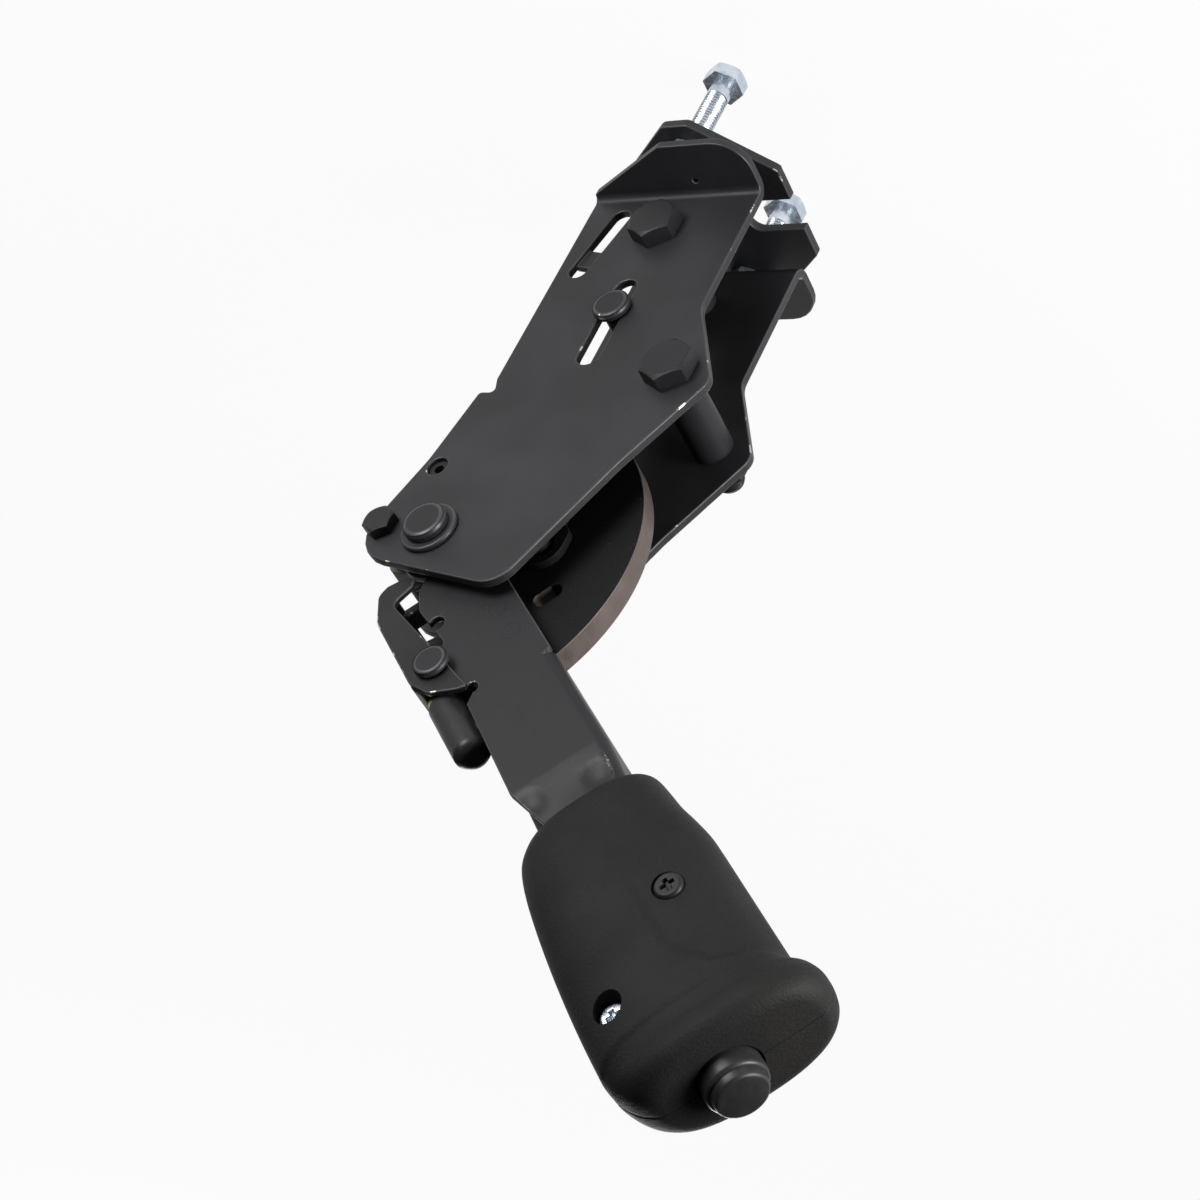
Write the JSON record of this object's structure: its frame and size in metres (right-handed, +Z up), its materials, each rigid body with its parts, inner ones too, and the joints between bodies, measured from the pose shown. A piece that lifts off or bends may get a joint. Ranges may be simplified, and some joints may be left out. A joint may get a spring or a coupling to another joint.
{
  "type": "parking brake lever",
  "caption": "ratchet parking brake lever with a push-button grip, a sprung pawl and a folded plate bracket that pulls a cable pin along a slot",
  "frame": {"origin": "midway between the two foot bolts, on the underside of the feet", "axes": "X forward along the feet, Y across the gap between the side plates, Z up from the feet"},
  "size_m": [0.2098, 0.082, 0.3729],
  "materials": {
    "black_coated_steel": "satin black dip coat",
    "dark_steel": "thin dark coat, worn on the edges",
    "bare_steel": "bare, browned and oiled",
    "zinc_steel": "bright zinc plate",
    "brass": "turned",
    "black_plastic": "fine grain"
  },
  "bodies": {
    "bracket": {"near_side_plate": "black_coated_steel", "far_side_plate": "black_coated_steel", "clamp_plate": "black_coated_steel", "clamp_bolts": "zinc_steel", "weld_nuts": "zinc_steel", "lower_bolt": "black_coated_steel", "lower_nut": "black_coated_steel", "lower_spacer": "dark_steel", "upper_bolt": "black_coated_steel", "upper_nut": "black_coated_steel", "upper_spacer": "dark_steel", "pivot_pin": "dark_steel", "pivot_washers": "black_coated_steel", "pivot_retainer": "zinc_steel", "thrust_washers": "bare_steel", "pivot_spacers": "bare_steel", "ratchet_plate": "bare_steel", "ratchet_rivet": "bare_steel", "ratchet_sleeves": "dark_steel", "corner_bolt": "dark_steel", "corner_nut": "dark_steel"},
    "lever": {"lever_channel": "dark_steel", "pivot_bushes": "brass", "sector_plate": "bare_steel", "sector_rivets": "dark_steel", "sector_spacers": "dark_steel", "crank_pin": "bare_steel", "pawl_pin": "dark_steel", "rod_guide": "dark_steel", "spring_sleeve": "black_plastic", "plunger_spring": "bare_steel", "button_spring": "bare_steel", "grip_near_half": "black_plastic", "grip_far_half": "black_plastic", "front_grip_screw": "dark_steel", "end_grip_screw": "zinc_steel"},
    "pawl": {"pawl": "dark_steel"},
    "plunger": {"pawl_plunger": "brass"},
    "release": {"release_rod": "bare_steel", "push_button": "black_plastic"},
    "cable_link": {"cable_pin": "dark_steel", "pull_links": "dark_steel", "pin_clip": "zinc_steel"}
  },
  "joints": [
    {"name": "lever_swing", "type": "hinge", "parent": "bracket", "child": "lever", "pos_m": [-0.029, 0, 0.155], "axis": [0, -1, 0], "range_deg": [-17, 36]},
    {"name": "cable_pin_slide", "type": "slide", "parent": "bracket", "child": "cable_link", "axis": [0, 0, 1], "range_m": [-0.0096, 0.0202]},
    {"name": "button_press", "type": "slide", "parent": "lever", "child": "release", "axis": [-0.7431, 0, -0.6691], "range_m": [0, 0.004], "stiffness_N_per_m": 1500, "springref_m": -0.002, "deforming": ["button_spring"]},
    {"name": "pawl_lift", "type": "hinge", "parent": "lever", "child": "pawl", "pos_m": [-0.005, 0, 0.20352], "axis": [0, 1, 0], "range_deg": [0, 18.1]},
    {"name": "plunger_slide", "type": "slide", "parent": "lever", "child": "plunger", "axis": [0.7431, 0, 0.6691], "range_m": [0, 0.00245], "deforming": ["plunger_spring"]}
  ],
  "couplings": [
    {"joint": "cable_pin_slide", "follows": "lever_swing", "m_per_rad": 0.032},
    {"joint": "pawl_lift", "follows": "button_press", "rad_per_m": 78.75},
    {"joint": "plunger_slide", "follows": "button_press", "ratio": 0.6}
  ]
}
